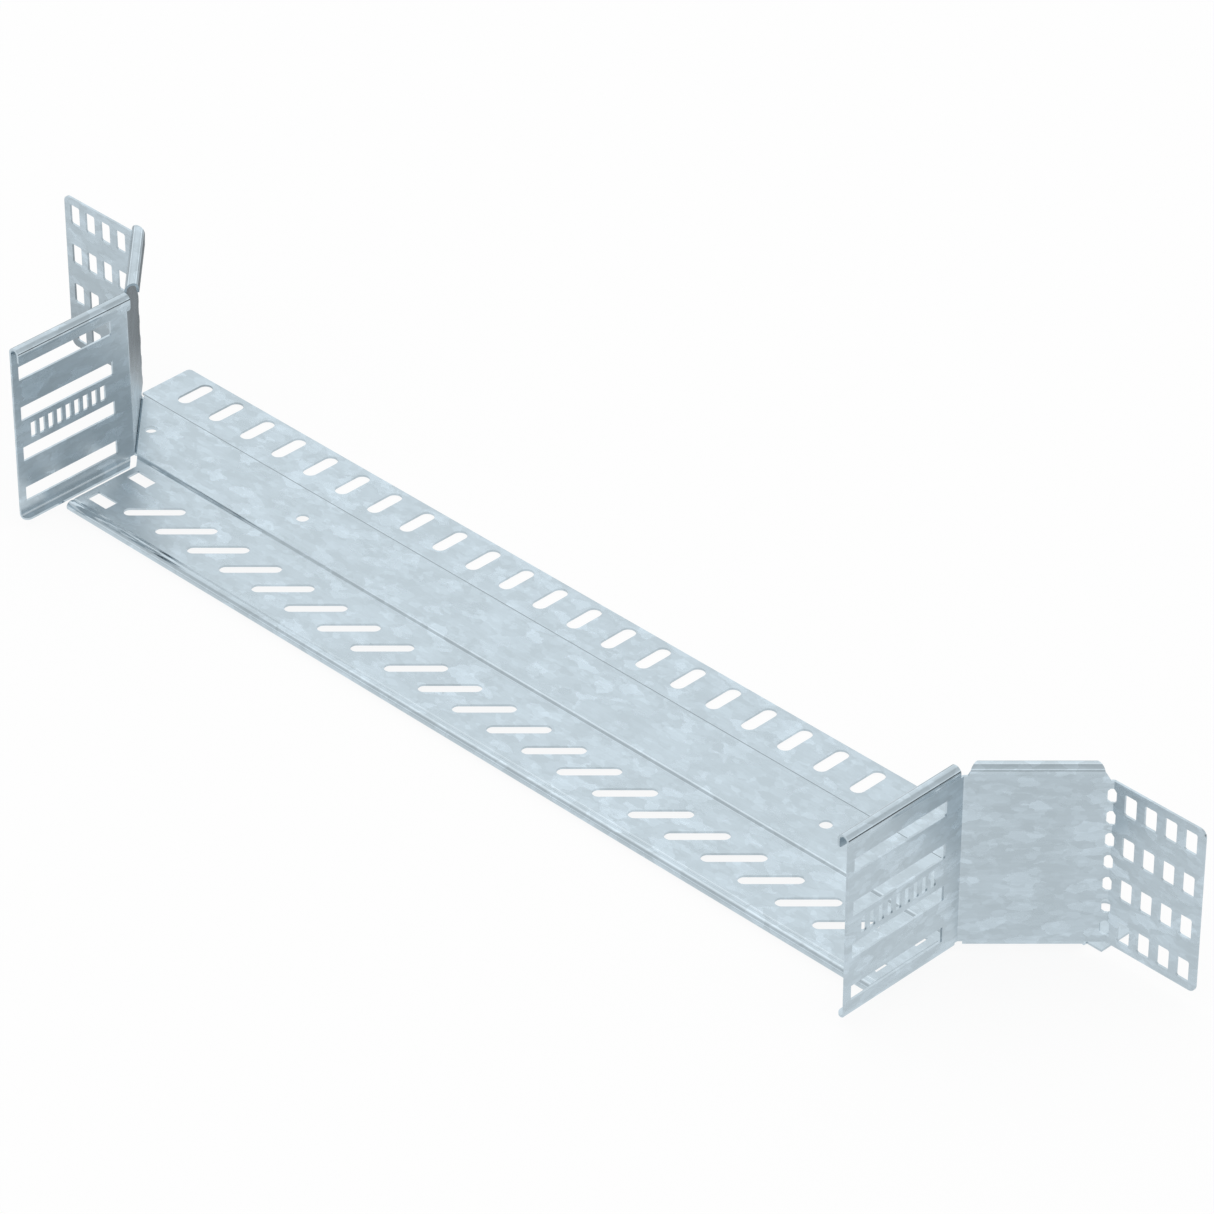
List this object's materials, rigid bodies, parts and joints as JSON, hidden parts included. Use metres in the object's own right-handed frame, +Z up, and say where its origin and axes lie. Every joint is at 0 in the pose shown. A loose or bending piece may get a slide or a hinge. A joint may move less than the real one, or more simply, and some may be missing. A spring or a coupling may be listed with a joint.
{
  "type": "cable tray branch tee",
  "caption": "Folded sheet-steel tee that joins a branch cable tray at right angles to a main tray, with slotted floor, rolled-edge walls and perforated fixing plates.",
  "frame": {"origin": "bottom centre of the part's box: middle of its length and depth, on the plane that the lap and the front bead rest on", "axes": "+X along the main tray, +Y from the branch tray towards the main tray, +Z up"},
  "size_m": [0.8078, 0.1628, 0.1111],
  "materials": {
    "galvanised_sheet": "hot-dip galvanised sheet, satin, with a soft spangle"
  },
  "bodies": {
    "root": {"floor_plate": "galvanised_sheet", "side_wall_right": "galvanised_sheet", "side_wall_left": "galvanised_sheet"}
  },
  "joints": []
}
